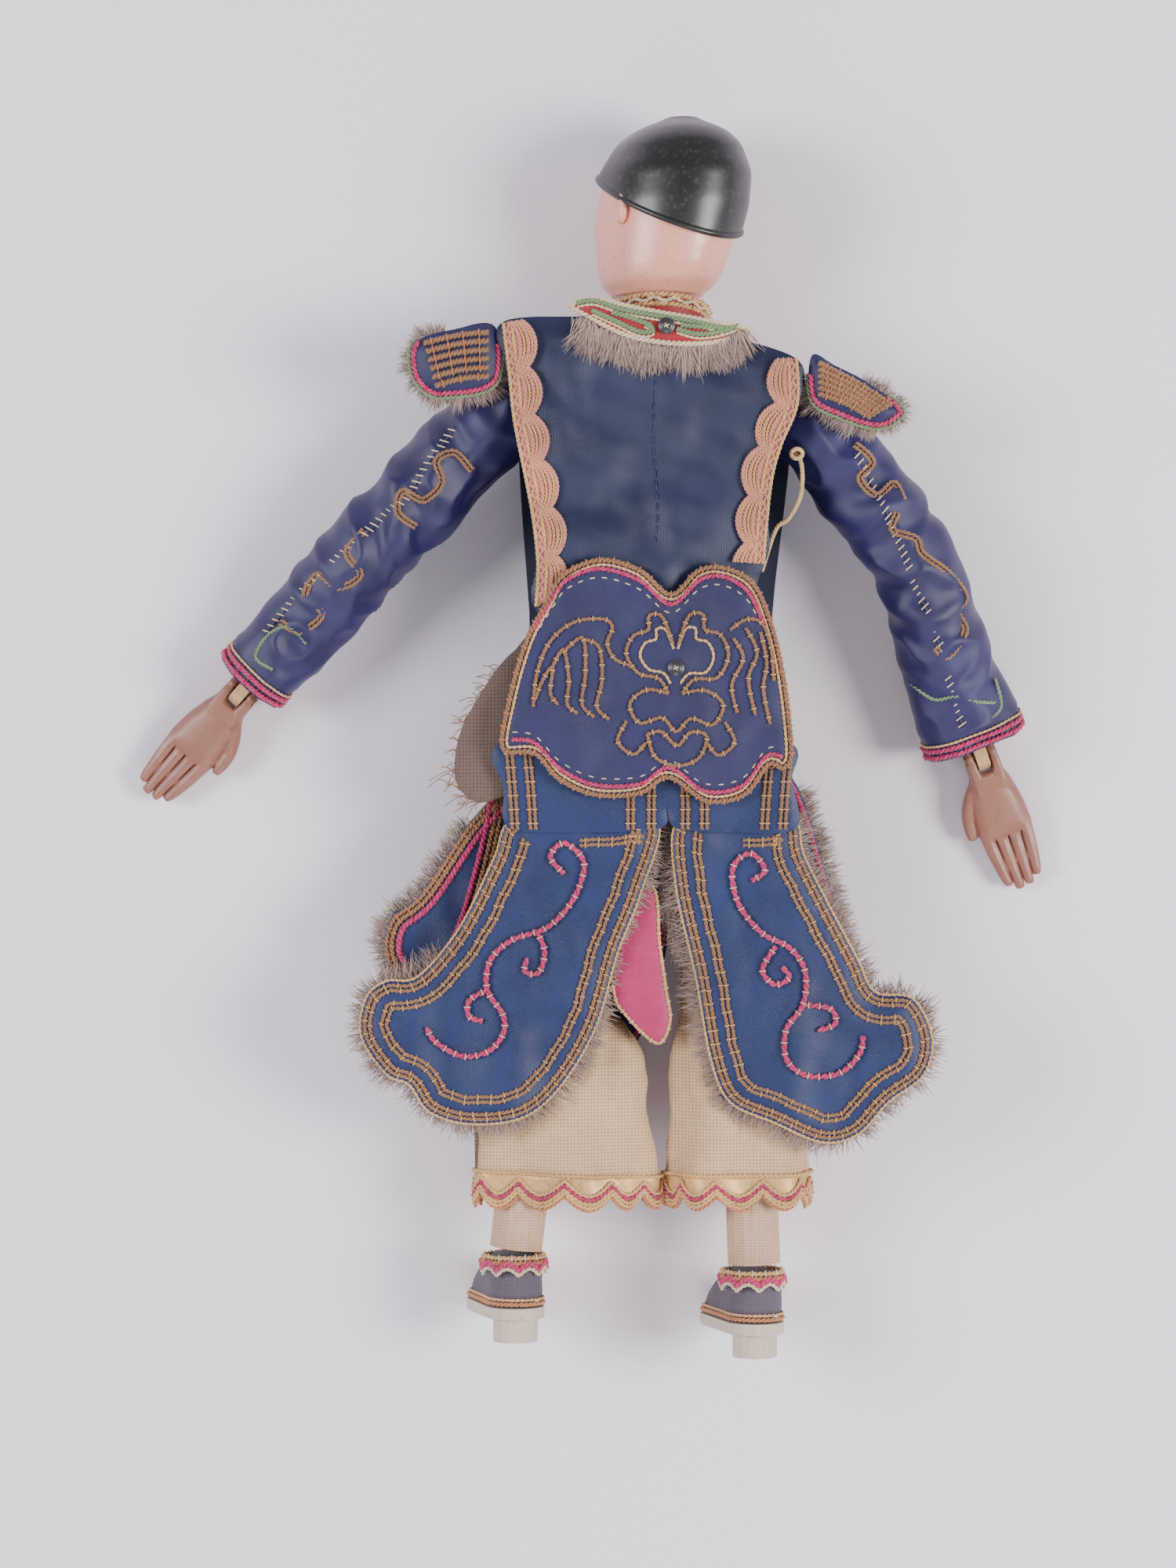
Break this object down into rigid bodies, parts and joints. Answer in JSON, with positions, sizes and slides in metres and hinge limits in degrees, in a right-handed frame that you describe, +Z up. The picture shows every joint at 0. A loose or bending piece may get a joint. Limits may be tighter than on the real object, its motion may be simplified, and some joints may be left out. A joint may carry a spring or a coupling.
{
  "type": "carved and dressed marionette puppet",
  "caption": "Dressed theatre puppet of carved wood and cloth, lying on its chest, with pinned limbs, turning head, lifting skirt flaps and heeled shoes.",
  "frame": {"origin": "middle of the puppet on the surface that it lies on", "axes": "+Z up out of its back, +Y towards the head, +X towards its right hand"},
  "size_m": [0.2161, 0.2899, 0.0395],
  "materials": {
    "bare_wood": "carved and sanded, unpainted",
    "painted_wood": "flesh-toned gesso and paint, polished",
    "carved_hand_wood": "stained brown-pink, worn satin",
    "lacquer": "black lacquer over carved wood",
    "navy_satin": "satin",
    "plum_satin": "worn quilted satin",
    "blue_satin": "satin",
    "sleeve_satin": "blue-violet satin",
    "red_satin": "satin",
    "pink_silk": "silk",
    "gold_braid": "woven braid with pale pink",
    "linen": "plain weave, unbleached",
    "shoe_cloth": "blue-grey cloth",
    "pale_wood": "whitewashed",
    "straw": "two-ply twisted cord",
    "brass_wire": "drawn wire"
  },
  "bodies": {
    "torso": {"torso_block": "bare_wood", "hip_block": "bare_wood", "vest_back": "navy_satin", "vest_front": "navy_satin", "vest_braid_left": "gold_braid", "vest_braid_right": "gold_braid", "waist_panel": "plum_satin", "collar_band": "red_satin", "cloud_collar": "red_satin", "tie_cord": "straw"},
    "neck": {"neck_peg": "bare_wood", "nod_pin": "brass_wire"},
    "head": {"head_block": "painted_wood", "skull_cap": "lacquer"},
    "shoulder_left": {"shoulder_knuckle_left": "bare_wood", "shoulder_pin_left": "brass_wire"},
    "upper_arm_left": {"upper_arm_left": "bare_wood", "upper_sleeve_left": "sleeve_satin", "elbow_pin_left": "brass_wire"},
    "forearm_left": {"forearm_left": "bare_wood", "lower_sleeve_left": "sleeve_satin", "cuff_piping_left": "pink_silk", "wrist_pin_left": "brass_wire"},
    "hand_left": {"hand_left": "carved_hand_wood"},
    "pad_left": {"shoulder_pad_left": "plum_satin"},
    "thigh_left": {"thigh_left": "bare_wood", "trouser_upper_left": "linen", "hip_pin_left": "brass_wire", "knee_pin_left": "brass_wire"},
    "shin_left": {"shin_left": "bare_wood", "trouser_lower_left": "linen", "trouser_hem_left": "gold_braid", "shoe_upper_left": "shoe_cloth", "shoe_sole_left": "pale_wood"},
    "back_flap_left": {"back_flap_left": "blue_satin", "side_flap_left": "blue_satin", "silk_tab": "pink_silk"},
    "front_flap_left": {"front_flap_left": "blue_satin"},
    "shoulder_right": {"shoulder_knuckle_right": "bare_wood", "shoulder_pin_right": "brass_wire"},
    "upper_arm_right": {"upper_arm_right": "bare_wood", "upper_sleeve_right": "sleeve_satin", "elbow_pin_right": "brass_wire"},
    "forearm_right": {"forearm_right": "bare_wood", "lower_sleeve_right": "sleeve_satin", "cuff_piping_right": "pink_silk", "wrist_pin_right": "brass_wire"},
    "hand_right": {"hand_right": "carved_hand_wood"},
    "pad_right": {"shoulder_pad_right": "plum_satin"},
    "thigh_right": {"thigh_right": "bare_wood", "trouser_upper_right": "linen", "hip_pin_right": "brass_wire", "knee_pin_right": "brass_wire"},
    "shin_right": {"shin_right": "bare_wood", "trouser_lower_right": "linen", "trouser_hem_right": "gold_braid", "shoe_upper_right": "shoe_cloth", "shoe_sole_right": "pale_wood"},
    "back_flap_right": {"back_flap_right": "blue_satin"},
    "front_flap_right": {"front_flap_right": "blue_satin"}
  },
  "joints": [
    {"name": "head_turn", "type": "hinge", "parent": "torso", "child": "neck", "pos_m": [0.0165, 0.098, 0.02], "axis": [0, 1, 0], "range_deg": [-100, 15]},
    {"name": "head_nod", "type": "hinge", "parent": "neck", "child": "head", "pos_m": [0.0165, 0.106, 0.02], "axis": [0.7071, 0, -0.7071], "range_deg": [-10, 10]},
    {"name": "shoulder_swing_left", "type": "hinge", "parent": "torso", "child": "shoulder_left", "pos_m": [-0.018, 0.078, 0.02], "axis": [1, 0, 0], "range_deg": [0, 80]},
    {"name": "shoulder_lift_left", "type": "hinge", "parent": "shoulder_left", "child": "upper_arm_left", "pos_m": [-0.018, 0.078, 0.02], "axis": [0, 0, -1], "range_deg": [-20, 50]},
    {"name": "elbow_left", "type": "hinge", "parent": "upper_arm_left", "child": "forearm_left", "pos_m": [-0.044, 0.052, 0.02], "axis": [0.7334, -0.6798, 0], "range_deg": [0, 60]},
    {"name": "wrist_left", "type": "hinge", "parent": "forearm_left", "child": "hand_left", "pos_m": [-0.082, 0.011, 0.009], "axis": [0.7334, -0.6798, 0], "range_deg": [-30, 30]},
    {"name": "shoulder_swing_right", "type": "hinge", "parent": "torso", "child": "shoulder_right", "pos_m": [0.052, 0.074, 0.02], "axis": [1, 0, 0], "range_deg": [0, 80]},
    {"name": "shoulder_lift_right", "type": "hinge", "parent": "shoulder_right", "child": "upper_arm_right", "pos_m": [0.052, 0.074, 0.02], "axis": [0, 0, 1], "range_deg": [-15, 50]},
    {"name": "elbow_right", "type": "hinge", "parent": "upper_arm_right", "child": "forearm_right", "pos_m": [0.076, 0.042, 0.02], "axis": [0.938, 0.3467, 0], "range_deg": [0, 60]},
    {"name": "wrist_right", "type": "hinge", "parent": "forearm_right", "child": "hand_right", "pos_m": [0.093, -0.004, 0.009], "axis": [0.938, 0.3467, 0], "range_deg": [-30, 30]},
    {"name": "pad_flip_left", "type": "hinge", "parent": "torso", "child": "pad_left", "pos_m": [-0.0218, 0.088, 0.036], "axis": [0, 1, 0], "range_deg": [0, 40]},
    {"name": "pad_flip_right", "type": "hinge", "parent": "torso", "child": "pad_right", "pos_m": [0.0518, 0.082, 0.036], "axis": [0, -1, 0], "range_deg": [0, 40]},
    {"name": "hip_swing_left", "type": "hinge", "parent": "torso", "child": "thigh_left", "pos_m": [0.004, -0.0126, 0.02], "axis": [1, 0, 0], "range_deg": [0, 60]},
    {"name": "knee_left", "type": "hinge", "parent": "thigh_left", "child": "shin_left", "pos_m": [-0.01, -0.0599, 0.02], "axis": [-1, 0, 0], "range_deg": [0, 60]},
    {"name": "hip_swing_right", "type": "hinge", "parent": "torso", "child": "thigh_right", "pos_m": [0.032, -0.0126, 0.02], "axis": [1, 0, 0], "range_deg": [0, 60]},
    {"name": "knee_right", "type": "hinge", "parent": "thigh_right", "child": "shin_right", "pos_m": [0.0364, -0.0599, 0.02], "axis": [-1, 0, 0], "range_deg": [0, 60]},
    {"name": "back_flap_lift_left", "type": "hinge", "parent": "torso", "child": "back_flap_left", "pos_m": [-0.001, -0.019, 0.033], "axis": [-1, 0, 0], "range_deg": [0, 36]},
    {"name": "back_flap_lift_right", "type": "hinge", "parent": "torso", "child": "back_flap_right", "pos_m": [0.034, -0.019, 0.033], "axis": [-1, 0, 0], "range_deg": [0, 36]},
    {"name": "front_flap_swing_left", "type": "hinge", "parent": "torso", "child": "front_flap_left", "pos_m": [0.002, -0.004, 0.004], "axis": [1, 0, 0], "range_deg": [0, 60]},
    {"name": "front_flap_swing_right", "type": "hinge", "parent": "torso", "child": "front_flap_right", "pos_m": [0.034, -0.004, 0.004], "axis": [1, 0, 0], "range_deg": [0, 60]}
  ],
  "couplings": [
    {"joint": "back_flap_lift_left", "follows": "knee_left", "ratio": 0.6},
    {"joint": "front_flap_swing_left", "follows": "hip_swing_left", "ratio": 1},
    {"joint": "back_flap_lift_right", "follows": "knee_right", "ratio": 0.6},
    {"joint": "front_flap_swing_right", "follows": "hip_swing_right", "ratio": 1}
  ]
}
